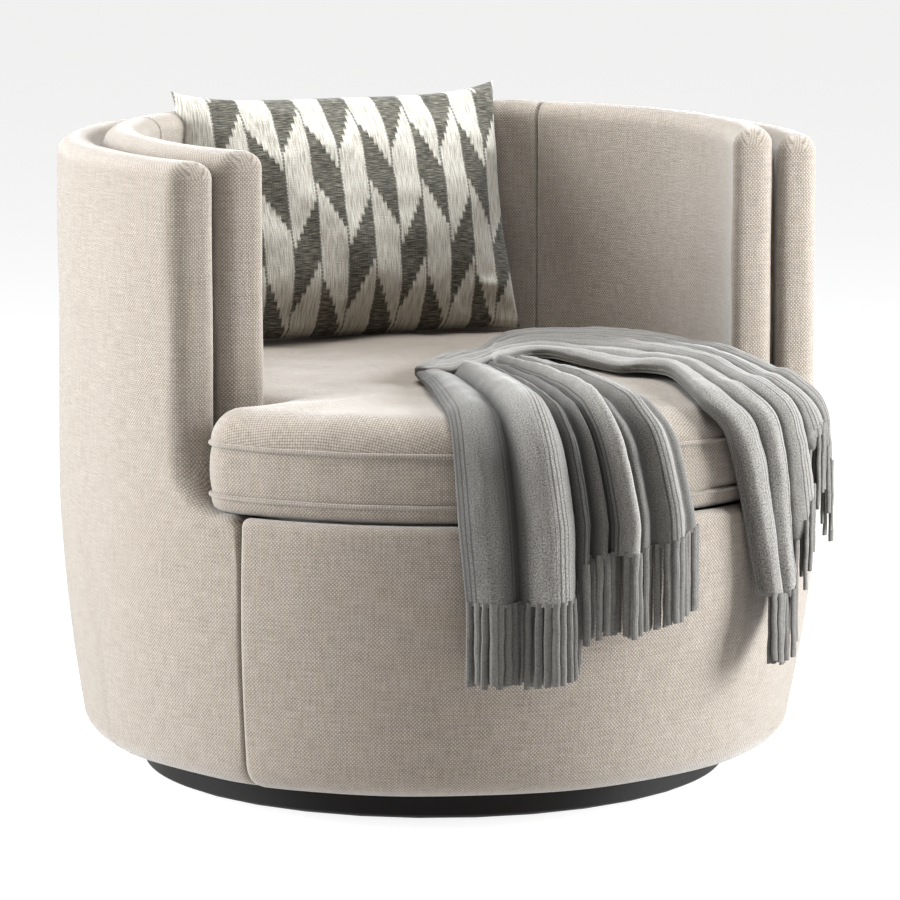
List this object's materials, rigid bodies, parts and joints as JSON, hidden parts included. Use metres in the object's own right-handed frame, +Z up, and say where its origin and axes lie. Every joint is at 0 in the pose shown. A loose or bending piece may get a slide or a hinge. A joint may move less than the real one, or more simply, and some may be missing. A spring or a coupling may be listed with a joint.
{
  "type": "swivel barrel armchair",
  "caption": "Upholstered barrel armchair on a round plinth with a hidden ball swivel, loose seat cushion, lumbar pillow and fringed throw.",
  "frame": {"origin": "on the swivel axis, at floor level under the felt ring", "axes": "+Z up along the swivel axis; the seat's front faces -Y; +X is to the right seen from the front"},
  "size_m": [0.864, 0.9233, 0.7555],
  "materials": {
    "oatmeal_linen": "woven linen-look upholstery cloth, warm oatmeal melange",
    "patterned_cloth": "slubby woven cloth, cream with dark olive leaf stripes",
    "grey_knit": "soft mid-grey knitted throw cloth with fine lengthwise lines",
    "black_board": "satin black painted board",
    "frame_timber": "plywood and sawn hardwood, unfinished",
    "bearing_steel": "zinc-plated pressed steel",
    "ball_steel": "polished",
    "grey_felt": "dense pressed wool felt",
    "nylon": "moulded nylon",
    "elastic_web": "woven elastic strap",
    "black_cloth": "thin non-woven dust cloth",
    "deck_cloth": "plain deck cloth over wadding"
  },
  "bodies": {
    "base": {"floor_ring": "grey_felt", "plinth": "black_board", "swivel_lower_plate": "bearing_steel", "lower_plate_screws": "bearing_steel", "swivel_balls": "ball_steel"},
    "upper": {"swivel_upper_plate": "bearing_steel", "upper_plate_screws": "bearing_steel", "bottom_board": "frame_timber", "frame_posts": "frame_timber", "infill_boards": "frame_timber", "seat_ring": "frame_timber", "back_shell_board": "frame_timber", "outer_wrap": "oatmeal_linen", "front_panel": "oatmeal_linen", "inner_pad_back": "oatmeal_linen", "inner_pad_left": "oatmeal_linen", "inner_pad_right": "oatmeal_linen", "webbing_lengthwise": "elastic_web", "webbing_crosswise": "elastic_web", "deck_pad": "deck_cloth", "dust_cover": "black_cloth"},
    "cushion": {"seat_cushion": "oatmeal_linen", "cushion_welt_upper": "oatmeal_linen", "cushion_welt_lower": "oatmeal_linen", "cushion_zip": "nylon"},
    "pillow": {"pillow": "patterned_cloth"},
    "throw": {"throw": "grey_knit", "throw_fringe": "grey_knit"}
  },
  "joints": [
    {"name": "upper_swivel", "type": "hinge", "parent": "base", "child": "upper", "pos_m": [0, 0, 0.035], "axis": [0, 0, 1], "continuous": true},
    {"name": "cushion_lift", "type": "slide", "parent": "upper", "child": "cushion", "axis": [0, 0, 1], "range_m": [0, 0.1]},
    {"name": "pillow_lift", "type": "slide", "parent": "cushion", "child": "pillow", "axis": [0, 0, 1], "range_m": [0, 0.15]},
    {"name": "throw_lift", "type": "slide", "parent": "cushion", "child": "throw", "axis": [0, 0, 1], "range_m": [0, 0.15]}
  ]
}
